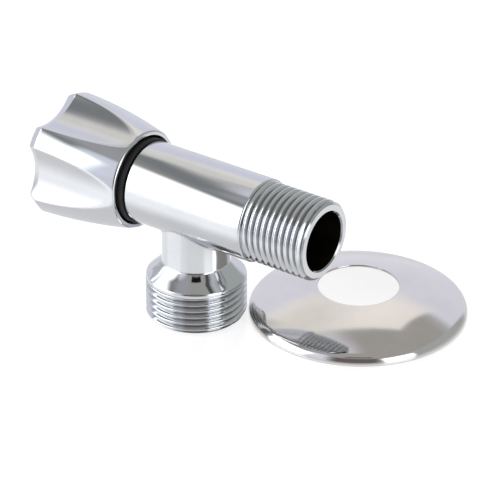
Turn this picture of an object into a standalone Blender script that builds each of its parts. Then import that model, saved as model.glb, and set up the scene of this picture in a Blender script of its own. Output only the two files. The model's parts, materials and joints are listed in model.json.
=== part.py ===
"""Angle stop valve, 1/2 inch by 3/4 inch, with a ceramic-disc cartridge and its loose wall flange.

Units are metres and +Z is up. The valve stands on its outlet, the barrel runs along +X from the handle
to the inlet mouth, and the wall flange lies beside it. Turned pieces are drawn about their own local Z
axis, which the "barrel_axis" and "turning_axis" empties lay along the barrel. Along the barrel, a place
is counted from the outlet's axis: positive towards the inlet, negative towards the handle.
"""

import math

import bmesh
import bpy
from mathutils import Matrix

# ---- driving dimensions --------------------------------------------------------------------------

GAP = 0.0003                  # air left between pieces that touch on the real valve
PITCH = 0.001814              # 14 threads to the inch, on both G 1/2 and G 3/4

AXIS_HEIGHT = 0.0334          # barrel axis above the outlet's end face
BARREL_RADIUS = 0.0110
BARREL_END = -0.0150          # the handle's side of the barrel
THREAD_START = 0.0214
MOUTH = 0.0400
INLET_CREST = 0.010478        # G 1/2, major radius
INLET_ROOT = 0.009316         # G 1/2, minor radius
INLET_BORE = 0.00775
SEAT_FACE = 0.0075            # the cartridge seals on this side of the seat wall
SEAT_BACK = 0.0095
SEAT_HOLE = 0.0046
CHAMBER_RADIUS = 0.00835      # the cartridge's socket

OUTLET_CREST = 0.013221       # G 3/4, major radius
OUTLET_ROOT = 0.012059        # G 3/4, minor radius
OUTLET_THREAD = 0.0120        # height of the threaded stretch
OUTLET_BORE = 0.0096
OUTLET_BORE_DEPTH = 0.0090
NECK_RADIUS = 0.0090
NECK_BOTTOM = 0.0158          # top of the cone between the thread and the neck
NECK_BORE = 0.00575

TUBE_RADIUS = 0.0070          # cartridge: the slotted tube that holds the discs
TUBE_BORE = 0.0062
TUBE_END = 0.0056
STEM_RADIUS = 0.0042
STEM_BORE = STEM_RADIUS + GAP
HEX_RADIUS = 0.00924          # 16 mm across flats
NOSE_RADIUS = 0.0059
NOSE_END = -0.0260

RING_RADIUS = 0.01140         # black skirt ring
RING_BORE = 0.0093
RING_THICKNESS = 0.0026

LOBES = 5
LOBE_ANGLE = math.radians(37.6)   # one lobe's crown, from -Y round towards +Z
HANDLE_BASE = -0.0167
HANDLE_CORNER = -0.0410           # the crowns end here, at a bevel
HANDLE_BEVEL = ((0.0009, 0.0022), (0.0019, 0.0028))   # its points: how far in and how far back
HANDLE_BASE_RADIUS = 0.0132
HANDLE_END_RADIUS = 0.0169
HANDLE_BULGE = 0.00270            # four times the bow of the crown line, midway along
SKIRT_BORE = 0.0118
SHELL_BORE = 0.0113
HUB_RADIUS = 0.0088
HUB_FOOT = -0.0240
HOLLOW_END = -0.0392
FLUTE_BOTTOM = 0.0132             # each flute is a groove along the axis, this far from it
FLUTE_RADIUS = 0.0150
SOCKET_RADIUS = 0.00725           # corner of the hexagonal socket for the spline bush
SOCKET_END = -0.0348
WEB_END = -0.0368
CAP_RECESS = 0.0070
CROWN_CENTRE = -0.0440            # the end face bulges to here at the cap

SPLINE_TEETH = 20
SPLINE_CREST = 0.0040
SPLINE_ROOT = 0.0034
SPLINE_START = -0.0283
SPINDLE_END = -0.0339
SCREW_RADIUS = 0.0020

DISC_RADIUS = 0.0058
DISC_THICKNESS = 0.0026
PORT_HALF_ANGLE = math.radians(38)

FLANGE_RADIUS = 0.02875
FLANGE_HOLE = 0.0107
FLANGE_HEIGHT = 0.0076
FLANGE_UPRIGHT = 0.0003           # straight height of the rim
FLANGE_BEND = 0.0028              # outer radius of the bend over it
FLANGE_SLOPE = math.radians(21)   # the dome's slope where it leaves the bend
FLANGE_SHEET = 0.0007
FLANGE_X = 0.0341                 # flange centre, from the outlet's axis
FLANGE_Y = 0.0250

FINE = 48                         # facets round large, medium and small pieces
MEDIUM = 36
COARSE = 24

# ---- the whole object's middle, which is the origin ----------------------------------------------

STEP_ANGLE = 2 * math.pi / LOBES
FLUTE_AXIS = FLUTE_BOTTOM + FLUTE_RADIUS
FLUTE_HALF_ANGLE = math.acos(
    (HANDLE_END_RADIUS**2 + FLUTE_AXIS**2 - FLUTE_RADIUS**2) / (2 * HANDLE_END_RADIUS * FLUTE_AXIS)
)
CROWN_HALF_ANGLE = STEP_ANGLE / 2 - FLUTE_HALF_ANGLE
CAP_TOP = CROWN_CENTRE - 0.0008
NEAREST_CROWN = LOBE_ANGLE - STEP_ANGLE + CROWN_HALF_ANGLE
HANDLE_REACH = HANDLE_END_RADIUS * math.cos(NEAREST_CROWN)
ORIGIN_X = -(CAP_TOP + FLANGE_X + FLANGE_RADIUS) / 2
ORIGIN_Y = -(FLANGE_Y + FLANGE_RADIUS - HANDLE_REACH) / 2


# ---- helpers -------------------------------------------------------------------------------------


def clear_scene():
    for obj in list(bpy.data.objects):
        bpy.data.objects.remove(obj)


def new_collection(name):
    collection = bpy.data.collections.new(name)
    bpy.context.scene.collection.children.link(collection)
    return collection


def material(name, colour, metallic, roughness):
    made = bpy.data.materials.new(name)
    made.use_nodes = True
    shader = made.node_tree.nodes["Principled BSDF"]
    shader.inputs["Base Color"].default_value = (*colour, 1.0)
    shader.inputs["Metallic"].default_value = metallic
    shader.inputs["Roughness"].default_value = roughness
    return made


def empty(name, location, along_x=False):
    """A placing frame. along_x lays its local Z along the barrel, towards the inlet."""
    frame = bpy.data.objects.new(name, None)
    frame.location = location
    if along_x:
        frame.rotation_euler = (0, math.pi / 2, 0)
    parts.objects.link(frame)
    return frame


def put(mesh, name, parent, finish=None):
    """Makes the object for a mesh: a part if it has a finish, otherwise a hidden cutter."""
    obj = bpy.data.objects.new(name, mesh)
    obj.parent = parent
    if finish is None:
        cutters.objects.link(obj)
        obj.hide_render = True
        obj.display_type = "WIRE"
        return obj
    parts.objects.link(obj)
    mesh.materials.append(finish)
    mesh.shade_smooth()
    mesh.set_sharp_from_angle(angle=math.radians(35))
    return obj


def turned(name, outline, parent, finish=None, facets=MEDIUM):
    """A turned piece. outline holds (radius, along) points, and closes on itself or on the axis."""
    area = sum(
        (b[0] - a[0]) * (b[1] + a[1]) for a, b in zip(outline, outline[1:] + outline[:1])
    )
    points = outline if area > 0 else outline[::-1]
    on_axis = points[0][0] == 0 and points[-1][0] == 0
    mesh = bpy.data.meshes.new(name)
    last = len(points) - 1
    edges = [(i, i + 1) for i in range(last)] + ([] if on_axis else [(last, 0)])
    mesh.from_pydata([(r, 0, z) for r, z in points], edges, [])
    obj = put(mesh, name, parent, finish)
    screw = obj.modifiers.new("turn", "SCREW")
    screw.steps = screw.render_steps = facets
    screw.use_merge_vertices = True
    screw.merge_threshold = 0.000001
    screw.use_smooth_shade = True
    return obj


def rod(name, radius, start, end, parent, finish=None, facets=MEDIUM):
    return turned(name, [(0, start), (radius, start), (radius, end), (0, end)], parent, finish, facets)


def tube(name, bore, radius, start, end, parent, finish=None, facets=MEDIUM):
    return turned(
        name, [(bore, start), (radius, start), (radius, end), (bore, end)], parent, finish, facets
    )


def prism(name, outline, start, end, parent, finish=None):
    """A flat outline of (x, y) points, drawn out along local Z from start to end."""
    bm = bmesh.new()
    face = bm.faces.new([bm.verts.new((x, y, start)) for x, y in outline])
    made = bmesh.ops.extrude_face_region(bm, geom=[face])
    moved = [item for item in made["geom"] if isinstance(item, bmesh.types.BMVert)]
    bmesh.ops.translate(bm, verts=moved, vec=(0, 0, end - start))
    bmesh.ops.recalc_face_normals(bm, faces=bm.faces)
    mesh = bpy.data.meshes.new(name)
    bm.to_mesh(mesh)
    bm.free()
    return put(mesh, name, parent, finish)


def block(name, size, centre, parent):
    """A box cutter or a box to join, with its size and centre in the parent's frame."""
    bm = bmesh.new()
    bmesh.ops.create_cube(bm, size=1.0, matrix=Matrix.Diagonal((*size, 1.0)))
    bmesh.ops.translate(bm, verts=bm.verts, vec=centre)
    mesh = bpy.data.meshes.new(name)
    bm.to_mesh(mesh)
    bm.free()
    return put(mesh, name, parent)


def ring_seal(name, radius, thickness, along, parent, finish):
    """An O-ring: radius is that of its cross-section's centre."""
    bpy.ops.mesh.primitive_torus_add(
        major_radius=radius, minor_radius=thickness / 2, major_segments=COARSE, minor_segments=8
    )
    made = bpy.context.object
    mesh = made.data
    bpy.data.objects.remove(made)
    mesh.name = name
    seal = put(mesh, name, parent, finish)
    seal.location = (0, 0, along)
    return seal


def boolean(obj, other, operation):
    modifier = obj.modifiers.new(f"{operation.lower()} {other.name}", "BOOLEAN")
    modifier.operation = operation
    modifier.object = other
    modifier.solver = "EXACT"


def cut(obj, *others):
    for other in others:
        boolean(obj, other, "DIFFERENCE")


def join(obj, *others):
    for other in others:
        boolean(obj, other, "UNION")


def polygon(radius, sides, turn=0.0):
    angles = [turn + 2 * math.pi * i / sides for i in range(sides)]
    return [(radius * math.cos(a), radius * math.sin(a)) for a in angles]


def spline_outline(crest, root):
    """Straight-sided teeth: two points on each crest and two in each root."""
    points = []
    for i in range(4 * SPLINE_TEETH):
        radius = crest if i % 4 < 2 else root
        angle = 2 * math.pi * i / (4 * SPLINE_TEETH)
        points.append((radius * math.cos(angle), radius * math.sin(angle)))
    return points


def arc(radius, start, end, steps):
    angles = [start + (end - start) * i / steps for i in range(steps + 1)]
    return [(radius * math.cos(a), radius * math.sin(a)) for a in angles]


def sector(inner, outer, middle, half_angle, steps=8):
    """The outline of a ring's sector, such as a port or a clip's open ring."""
    return arc(outer, middle - half_angle, middle + half_angle, steps) + arc(
        inner, middle + half_angle, middle - half_angle, steps
    )


def screw_thread(name, crest, root, length, parent, facets=32):
    """A solid rod with a helical V thread from z 0 to length, chamfered at 45 degrees at both ends.

    Rows follow the helix, two to a pitch (root, crest), and each column is one facet further round and that
    much further up. A row's last column is the first column of the row two above it.
    """
    end_radius = root - 0.0002

    def point(row, column):
        z = (row / 2 + column / facets) * PITCH
        z = min(max(z, 0.0), length)
        chamfer = end_radius + min(z, length - z)
        radius = min(crest if row % 2 else root, chamfer)
        angle = 2 * math.pi * column / facets
        return radius * math.cos(angle), radius * math.sin(angle), z

    bm = bmesh.new()
    rows = range(-2, 2 * math.ceil(length / PITCH) + 3)
    grid = {(row, column): bm.verts.new(point(row, column)) for row in rows for column in range(facets)}
    for row in rows[:-3]:
        for column in range(facets):
            beside = (0, column + 1) if column + 1 < facets else (2, 0)
            corners = [
                grid[row, column],
                grid[row + beside[0], beside[1]],
                grid[row + 1 + beside[0], beside[1]],
                grid[row + 1, column],
            ]
            bm.faces.new(corners)
    bmesh.ops.remove_doubles(bm, verts=bm.verts, dist=0.000001)
    loose = [edge for edge in bm.edges if not edge.link_faces]
    bmesh.ops.delete(bm, geom=loose, context="EDGES")
    bmesh.ops.holes_fill(bm, edges=bm.edges, sides=0)
    bmesh.ops.recalc_face_normals(bm, faces=bm.faces)
    mesh = bpy.data.meshes.new(name)
    bm.to_mesh(mesh)
    bm.free()
    return put(mesh, name, parent)


# ---- the valve body ------------------------------------------------------------------------------


def valve_body():
    """Barrel, side outlet and both male threads, bored through and plated."""
    edge = 0.0004
    body = turned(
        "valve_body",
        [
            (0, BARREL_END),
            (BARREL_RADIUS - edge, BARREL_END),
            (BARREL_RADIUS, BARREL_END + edge),
            (BARREL_RADIUS, THREAD_START - edge),
            (BARREL_RADIUS - edge, THREAD_START),
            (0, THREAD_START),
        ],
        barrel_axis,
        chrome,
        FINE,
    )
    inlet_overlap = 0.0010
    inlet = screw_thread(
        "inlet_thread_form", INLET_CREST, INLET_ROOT, MOUTH - THREAD_START + inlet_overlap, barrel_axis
    )
    inlet.location = (0, 0, THREAD_START - inlet_overlap)
    outlet = screw_thread("outlet_thread_form", OUTLET_CREST, OUTLET_ROOT, OUTLET_THREAD, outlet_axis)
    collar = OUTLET_CREST - 0.0002
    cone_foot = NECK_BOTTOM - (collar - NECK_RADIUS)
    branch = turned(
        "branch_form",
        [
            (0, OUTLET_THREAD - 0.0010),
            (collar, OUTLET_THREAD - 0.0010),
            (collar, cone_foot),
            (NECK_RADIUS, NECK_BOTTOM),
            (NECK_RADIUS, AXIS_HEIGHT - 0.0030),
            (0, AXIS_HEIGHT - 0.0030),
        ],
        outlet_axis,
        facets=FINE,
    )
    beyond = 0.0010
    bores = turned(
        "barrel_bores",
        [
            (0, BARREL_END - beyond),
            (CHAMBER_RADIUS, BARREL_END - beyond),
            (CHAMBER_RADIUS, SEAT_FACE),
            (SEAT_HOLE, SEAT_FACE),
            (SEAT_HOLE, SEAT_BACK),
            (INLET_BORE, SEAT_BACK),
            (INLET_BORE, MOUTH + beyond),
            (0, MOUTH + beyond),
        ],
        barrel_axis,
    )
    outlet_bores = turned(
        "outlet_bores",
        [
            (0, -beyond),
            (OUTLET_BORE, -beyond),
            (OUTLET_BORE, OUTLET_BORE_DEPTH),
            (NECK_BORE, OUTLET_BORE_DEPTH + OUTLET_BORE - NECK_BORE),
            (NECK_BORE, AXIS_HEIGHT - 0.0020),
            (0, AXIS_HEIGHT - 0.0020),
        ],
        outlet_axis,
    )
    join(body, inlet, branch, outlet)
    cut(body, bores, outlet_bores)


# ---- the cartridge -------------------------------------------------------------------------------

FIXED_TOP = 0.0052                                   # fixed disc, on its inlet side
ROTOR_TOP = FIXED_TOP - DISC_THICKNESS - GAP
DRIVER_FACE = ROTOR_TOP - DISC_THICKNESS - GAP       # the spindle's driving flange
DRIVER_THICKNESS = 0.0024
WASHER_FACE = DRIVER_FACE - DRIVER_THICKNESS - GAP
WASHER_THICKNESS = 0.0010
TUBE_SHOULDER = WASHER_FACE - WASHER_THICKNESS - GAP
THREAD_SHOULDER = -0.0070
FLANGE_FACE = BARREL_END - GAP            # the cartridge's round flange rests on the barrel's end
HEX_START = FLANGE_FACE - RING_THICKNESS
HEX_END = HEX_START - 0.0041
SEAL_GROOVES = (-0.0100, -0.0135)                    # middles of the spindle's two O-ring grooves
GROOVE_WIDTH = 0.0018
SEAL_THICKNESS = 0.00124
STEM_GROOVE = 0.0029
BODY_SEAL = -0.0135                                  # the cartridge's own O-ring, in the barrel's mouth
BODY_GROOVE = 0.0070
CLIP_GROOVE = (-0.0263, -0.0274)
CLIP_THICKNESS = 0.0007
KEY_SIZE = (0.0024, 0.0084, 0.0012)                  # the spindle's key in the rotating disc's slot


def cartridge_body():
    """Brass: slotted tube, threaded stretch with an O-ring groove, flange, hexagon and nose, in one."""
    thread_radius = CHAMBER_RADIUS - GAP
    half_groove = GROOVE_WIDTH / 2
    outline = [
        (TUBE_BORE, TUBE_END),
        (TUBE_RADIUS, TUBE_END),
        (TUBE_RADIUS, THREAD_SHOULDER),
        (thread_radius, THREAD_SHOULDER),
        (thread_radius, BODY_SEAL + half_groove),
        (BODY_GROOVE, BODY_SEAL + half_groove),
        (BODY_GROOVE, BODY_SEAL - half_groove),
        (thread_radius, BODY_SEAL - half_groove),
        (thread_radius, FLANGE_FACE),
        (RING_BORE - GAP, FLANGE_FACE),
        (RING_BORE - GAP, HEX_START),
        (NOSE_RADIUS, HEX_START),
        (NOSE_RADIUS, NOSE_END),
        (STEM_BORE, NOSE_END),
        (STEM_BORE, TUBE_SHOULDER),
        (TUBE_BORE, TUBE_SHOULDER),
    ]
    cartridge = turned("cartridge_body", outline, barrel_axis, brass)
    hexagon = prism("hexagon_form", polygon(HEX_RADIUS, 6), HEX_END, HEX_START + 0.0005, barrel_axis)
    hexagon_bore = rod("hexagon_bore", STEM_BORE + 0.0005, HEX_END - 0.001, HEX_START + 0.002, barrel_axis)
    cut(hexagon, hexagon_bore)
    window_length = ROTOR_TOP - TUBE_SHOULDER - 0.0016
    windows = block(
        "window_cutter",
        (3 * TUBE_RADIUS, 0.0080, window_length),
        (0, 0, (ROTOR_TOP + TUBE_SHOULDER) / 2),
        barrel_axis,
    )
    join(cartridge, hexagon)
    cut(cartridge, windows)


def cartridge_seal():
    ring_seal(
        "cartridge_o_ring",
        (BODY_GROOVE + CHAMBER_RADIUS) / 2,
        CHAMBER_RADIUS - BODY_GROOVE - 0.0003,
        BODY_SEAL,
        barrel_axis,
        rubber,
    )


def seat_seal():
    """The soft ring that closes the cartridge on the seat, and the stiff ring that holds it open."""
    face = SEAT_FACE - GAP
    tube("seat_seal", 0.0047, 0.0059, FIXED_TOP + GAP, face, barrel_axis, silicone)
    tube("seat_support_ring", 0.0037, 0.0044, FIXED_TOP + GAP, face, barrel_axis, white_plastic)


def fixed_disc():
    disc = rod("fixed_disc", DISC_RADIUS, FIXED_TOP - DISC_THICKNESS, FIXED_TOP, barrel_axis, ceramic)
    for i in range(2):
        outline = sector(0.0014, 0.0045, math.pi * i, PORT_HALF_ANGLE)
        below = FIXED_TOP - 2 * DISC_THICKNESS
        cut(disc, prism(f"port_cutter_{i}", outline, below, 2 * FIXED_TOP, barrel_axis))


def rotating_disc():
    """Two wings that cover the fixed disc's ports when shut. A slot on its back takes the spindle's key."""
    bottom = ROTOR_TOP - DISC_THICKNESS
    disc = rod("rotating_disc", DISC_RADIUS, bottom, ROTOR_TOP, turning_axis, ceramic)
    for i in range(2):
        outline = sector(0.0026, 2 * DISC_RADIUS, math.pi * (i + 0.5), PORT_HALF_ANGLE)
        notch = prism(f"notch_cutter_{i}", outline, bottom - 0.001, ROTOR_TOP + 0.001, turning_axis)
        cut(disc, notch)
    size = (KEY_SIZE[0] + 2 * GAP, KEY_SIZE[1] + 2 * GAP, 2 * KEY_SIZE[2])
    slot = block("slot_cutter", size, (0, 0, bottom), turning_axis)
    cut(disc, slot)


def spindle():
    """Stem with grooves for two O-rings and a clip, a driving flange and key inside, a spline outside."""
    half_groove = GROOVE_WIDTH / 2
    outline = [
        (0, DRIVER_FACE),
        (DISC_RADIUS, DRIVER_FACE),
        (DISC_RADIUS, DRIVER_FACE - DRIVER_THICKNESS),
        (STEM_RADIUS, DRIVER_FACE - DRIVER_THICKNESS),
    ]
    for middle in SEAL_GROOVES:
        outline += [
            (STEM_RADIUS, middle + half_groove),
            (STEM_GROOVE, middle + half_groove),
            (STEM_GROOVE, middle - half_groove),
            (STEM_RADIUS, middle - half_groove),
        ]
    outline += [
        (STEM_RADIUS, CLIP_GROOVE[0]),
        (SPLINE_ROOT, CLIP_GROOVE[0]),
        (SPLINE_ROOT, CLIP_GROOVE[1]),
        (STEM_RADIUS, CLIP_GROOVE[1]),
        (STEM_RADIUS, SPLINE_START),
        (0, SPLINE_START),
    ]
    stem = turned("spindle", outline, turning_axis, brass, COARSE)
    spline = prism(
        "spline_form",
        spline_outline(SPLINE_CREST, SPLINE_ROOT),
        SPINDLE_END,
        SPLINE_START + 0.0005,
        turning_axis,
    )
    key = block("key_form", KEY_SIZE, (0, 0, DRIVER_FACE + KEY_SIZE[2] / 2 - GAP), turning_axis)
    screw_hole = rod(
        "screw_hole",
        SCREW_RADIUS + GAP,
        SPINDLE_END - 0.001,
        SPLINE_START + 0.0010,
        turning_axis,
        facets=COARSE,
    )
    join(stem, spline, key)
    cut(stem, screw_hole)


def spindle_fittings():
    """What sits on the spindle: two O-rings, the slip washer over the driving flange, and the circlip."""
    for name, middle in zip(("spindle_o_ring_inner", "spindle_o_ring_outer"), SEAL_GROOVES):
        ring_seal(name, (STEM_GROOVE + STEM_BORE) / 2, SEAL_THICKNESS, middle, turning_axis, rubber)
    tube(
        "slip_washer",
        STEM_BORE,
        DISC_RADIUS,
        WASHER_FACE - WASHER_THICKNESS,
        WASHER_FACE,
        turning_axis,
        white_plastic,
    )
    middle = sum(CLIP_GROOVE) / 2
    prism(
        "spindle_circlip",
        sector(SPLINE_ROOT + 0.0002, 0.0054, 0.0, math.radians(150), 16),
        middle - CLIP_THICKNESS / 2,
        middle + CLIP_THICKNESS / 2,
        turning_axis,
        steel,
    )


# ---- the handle ----------------------------------------------------------------------------------


def crown_radius(along):
    """The lobes' crown line: a taper from the skirt's rim to the end, bowed outwards."""
    share = (HANDLE_BASE - along) / (HANDLE_BASE - HANDLE_CORNER)
    straight = HANDLE_BASE_RADIUS + share * (HANDLE_END_RADIUS - HANDLE_BASE_RADIUS)
    return straight + HANDLE_BULGE * share * (1 - share)


def handle():
    """Chrome-plated die casting: a thin shell round a hub, with flutes cut along it between the lobes."""
    rim_round = 0.0005
    crown_steps = 8
    outline = [
        (SKIRT_BORE, HANDLE_BASE),
        (HANDLE_BASE_RADIUS - rim_round, HANDLE_BASE),
    ]
    for i in range(crown_steps + 1):
        first = HANDLE_BASE - rim_round
        along = first + (HANDLE_CORNER - first) * i / crown_steps
        outline.append((crown_radius(along), along))
    outline += [(HANDLE_END_RADIUS - drop, HANDLE_CORNER - back) for drop, back in HANDLE_BEVEL]
    outline += [
        (CAP_RECESS + 0.0010, CROWN_CENTRE),
        (CAP_RECESS, CROWN_CENTRE),
        (CAP_RECESS, WEB_END),
        (SCREW_RADIUS + 2 * GAP, WEB_END),
        (SCREW_RADIUS + 2 * GAP, SOCKET_END + 0.0005),
        (SOCKET_RADIUS - 0.0014, SOCKET_END + 0.0005),
        (SOCKET_RADIUS - 0.0014, HUB_FOOT),
        (HUB_RADIUS, HUB_FOOT),
        (HUB_RADIUS, HOLLOW_END),
        (SHELL_BORE, HOLLOW_END),
        (SHELL_BORE, HUB_FOOT),
        (SKIRT_BORE, HUB_FOOT + 0.0005),
    ]
    knob = turned("handle", outline, turning_axis, chrome, 60)
    socket = prism(
        "socket_cutter", polygon(SOCKET_RADIUS, 6), SOCKET_END, HUB_FOOT + 0.001, turning_axis
    )
    cut(knob, socket)
    for i in range(LOBES):
        angle = -math.pi / 2 - LOBE_ANGLE - STEP_ANGLE * (i + 0.5)
        flute = rod(
            f"flute_cutter_{i}",
            FLUTE_RADIUS,
            CROWN_CENTRE - 0.002,
            HANDLE_BASE + 0.002,
            turning_axis,
            facets=60,
        )
        flute.location = (FLUTE_AXIS * math.cos(angle), FLUTE_AXIS * math.sin(angle), 0)
        cut(knob, flute)


def spline_bush():
    """The plastic bush between the spindle's spline and the handle's hexagonal socket."""
    start = SOCKET_END + GAP
    end = SPLINE_START - GAP
    corner = SOCKET_RADIUS - GAP / math.cos(math.radians(30))
    bush = prism("spline_bush", polygon(corner, 6), start, end, turning_axis, white_plastic)
    outline = spline_outline(SPLINE_CREST + GAP, SPLINE_ROOT + GAP)
    cut(bush, prism("bush_cutter", outline, start - 0.001, end + 0.001, turning_axis))


def handle_screw():
    """Pan-head screw with a cross recess, and its split spring washer."""
    washer_face = WEB_END - GAP
    washer_back = washer_face - 0.0008
    head_face = washer_back - GAP
    head_top = head_face - 0.0024
    prism(
        "spring_washer",
        sector(SCREW_RADIUS + GAP, 0.0037, 0.0, math.radians(172), 16),
        washer_back,
        washer_face,
        turning_axis,
        steel,
    )
    screw = turned(
        "handle_screw",
        [
            (0, SPINDLE_END + 0.0042),
            (SCREW_RADIUS - 0.0005, SPINDLE_END + 0.0042),
            (SCREW_RADIUS, SPINDLE_END + 0.0037),
            (SCREW_RADIUS, head_face),
            (0.0037, head_face),
            (0.0037, head_top + 0.0010),
            (0.0028, head_top + 0.0002),
            (0, head_top),
        ],
        turning_axis,
        steel,
        COARSE,
    )
    width, depth = 0.0008, 0.0024
    cut(
        screw,
        block("recess_across", (0.0036, width, depth), (0, 0, head_top), turning_axis),
        block("recess_along", (width, 0.0036, depth), (0, 0, head_top), turning_axis),
    )


def handle_cap():
    """The push-in cap over the screw, and the coloured index disc let into it."""
    radius = CAP_RECESS - GAP
    skirt = 0.0011
    foot = WEB_END - 0.0014
    index_radius = 0.0028
    index_floor = CAP_TOP + 0.0009
    turned(
        "handle_cap",
        [
            (0, index_floor),
            (index_radius + GAP, index_floor),
            (index_radius + GAP, CAP_TOP),
            (radius * 0.7, CAP_TOP + 0.0003),
            (radius, CAP_TOP + 0.0010),
            (radius, foot),
            (radius - skirt, foot),
            (radius - skirt, CAP_TOP + 0.0026),
            (0, CAP_TOP + 0.0026),
        ],
        turning_axis,
        chrome,
    )
    turned(
        "index_disc",
        [
            (0, index_floor - GAP),
            (index_radius, index_floor - GAP),
            (index_radius, CAP_TOP + 0.0002),
            (0, CAP_TOP),
        ],
        turning_axis,
        blue_plastic,
        COARSE,
    )


def skirt_ring():
    """The black ring between the barrel's end and the handle's skirt."""
    soft_edge = 0.0004
    foot = BARREL_END - GAP
    top = foot - RING_THICKNESS
    turned(
        "skirt_ring",
        [
            (RING_BORE, foot),
            (RING_RADIUS - soft_edge, foot),
            (RING_RADIUS, foot - soft_edge),
            (RING_RADIUS, top + soft_edge),
            (RING_RADIUS - soft_edge, top),
            (RING_BORE, top),
        ],
        barrel_axis,
        rubber,
        FINE,
    )


# ---- the wall flange -----------------------------------------------------------------------------


def flange_profile():
    """Rim up to the hole: a short upright edge, the bend over it, then a dome that flattens inwards."""
    bend_steps, dome_steps = 6, 5
    points = [(FLANGE_RADIUS, 0)]
    for i in range(bend_steps):
        angle = (math.pi / 2 - FLANGE_SLOPE) * i / bend_steps
        radius = FLANGE_RADIUS - FLANGE_BEND * (1 - math.cos(angle))
        points.append((radius, FLANGE_UPRIGHT + FLANGE_BEND * math.sin(angle)))
    start = FLANGE_RADIUS - FLANGE_BEND * (1 - math.sin(FLANGE_SLOPE))
    start_height = FLANGE_UPRIGHT + FLANGE_BEND * math.cos(FLANGE_SLOPE)
    span = start - FLANGE_HOLE
    steepest = math.tan(FLANGE_SLOPE)
    flattest = 2 * (FLANGE_HEIGHT - start_height) / span - steepest
    for i in range(dome_steps + 1):
        share = i / dome_steps
        rise = span * share * (steepest + (flattest - steepest) * share / 2)
        points.append((start - span * share, start_height + rise))
    return points


def wall_flange():
    mesh = bpy.data.meshes.new("wall_flange")
    points = flange_profile()[::-1]
    mesh.from_pydata([(r, 0, z) for r, z in points], [(i, i + 1) for i in range(len(points) - 1)], [])
    flange = put(mesh, "wall_flange", flange_axis, steel_plate)
    screw = flange.modifiers.new("turn", "SCREW")
    screw.steps = screw.render_steps = FINE
    screw.use_merge_vertices = True
    screw.merge_threshold = 0.000001
    screw.use_smooth_shade = True
    sheet = flange.modifiers.new("sheet", "SOLIDIFY")
    sheet.thickness = FLANGE_SHEET
    sheet.offset = -1.0
    sheet.use_even_offset = True


# ---- building ------------------------------------------------------------------------------------

clear_scene()
parts = new_collection("angle_stop_valve")
cutters = new_collection("cutters_and_forms")

chrome = material("chrome_plate", (0.78, 0.79, 0.81), 1.0, 0.06)
brass = material("brass", (0.72, 0.55, 0.26), 1.0, 0.28)
steel = material("zinc_steel", (0.60, 0.61, 0.62), 1.0, 0.30)
steel_plate = material("polished_stainless", (0.74, 0.73, 0.72), 1.0, 0.08)
rubber = material("black_rubber", (0.015, 0.015, 0.016), 0.0, 0.45)
silicone = material("silicone", (0.62, 0.10, 0.08), 0.0, 0.50)
ceramic = material("alumina_ceramic", (0.86, 0.85, 0.82), 0.0, 0.22)
white_plastic = material("natural_nylon", (0.84, 0.83, 0.78), 0.0, 0.45)
blue_plastic = material("blue_index", (0.04, 0.16, 0.55), 0.0, 0.25)

barrel_axis = empty("barrel_axis", (ORIGIN_X, ORIGIN_Y, AXIS_HEIGHT), along_x=True)
turning_axis = empty("turning_axis", (ORIGIN_X, ORIGIN_Y, AXIS_HEIGHT), along_x=True)
outlet_axis = empty("outlet_axis", (ORIGIN_X, ORIGIN_Y, 0))
flange_axis = empty("flange_axis", (ORIGIN_X + FLANGE_X, ORIGIN_Y + FLANGE_Y, 0))

valve_body()
cartridge_body()
cartridge_seal()
seat_seal()
fixed_disc()
rotating_disc()
spindle()
spindle_fittings()
skirt_ring()
handle()
spline_bush()
handle_screw()
handle_cap()
wall_flange()

bpy.context.view_layer.update()
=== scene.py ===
import json
import math

import bmesh
import bpy
from mathutils import Matrix, Vector


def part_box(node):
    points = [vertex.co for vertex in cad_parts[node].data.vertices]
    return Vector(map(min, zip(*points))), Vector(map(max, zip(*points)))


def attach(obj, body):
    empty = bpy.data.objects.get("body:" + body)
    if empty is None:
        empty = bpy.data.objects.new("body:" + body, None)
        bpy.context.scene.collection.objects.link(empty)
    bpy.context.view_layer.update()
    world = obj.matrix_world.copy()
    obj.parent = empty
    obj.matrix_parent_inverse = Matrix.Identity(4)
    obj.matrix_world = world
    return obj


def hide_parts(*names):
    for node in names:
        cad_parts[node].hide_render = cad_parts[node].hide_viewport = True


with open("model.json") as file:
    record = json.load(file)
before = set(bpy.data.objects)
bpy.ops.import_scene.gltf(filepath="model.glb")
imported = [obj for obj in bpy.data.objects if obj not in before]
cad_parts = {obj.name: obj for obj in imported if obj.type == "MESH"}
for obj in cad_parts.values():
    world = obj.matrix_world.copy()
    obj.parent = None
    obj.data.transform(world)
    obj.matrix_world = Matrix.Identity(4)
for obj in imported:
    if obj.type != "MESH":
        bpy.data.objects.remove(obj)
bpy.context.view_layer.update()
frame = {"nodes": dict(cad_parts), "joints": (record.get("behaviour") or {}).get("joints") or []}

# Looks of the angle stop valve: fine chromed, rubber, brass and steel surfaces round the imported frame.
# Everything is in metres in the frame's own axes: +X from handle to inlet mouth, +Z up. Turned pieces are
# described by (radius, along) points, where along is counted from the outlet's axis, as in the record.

MM = 0.001

# ---- places and sizes from the frame ------------------------------------------------------------

AXIS = Vector(next(j for j in frame["joints"] if j["name"] == "handle_turn")["pos_m"])
body_low, body_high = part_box("valve_body")
BARREL_END = body_low.x - AXIS.x
MOUTH = body_high.x - AXIS.x
BARREL_RADIUS = body_high.z - AXIS.z
OUTLET_CREST = (body_high.y - body_low.y) / 2

handle_low, handle_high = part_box("handle")
HANDLE_BASE = handle_high.x - AXIS.x
CROWN_CENTRE = handle_low.x - AXIS.x

ring_low, ring_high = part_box("skirt_ring")
cap_low, cap_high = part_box("handle_cap")
index_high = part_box("index_disc")[1]
flange_low, flange_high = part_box("wall_flange")

# ---- sizes of the fine shapes -------------------------------------------------------------------

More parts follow.
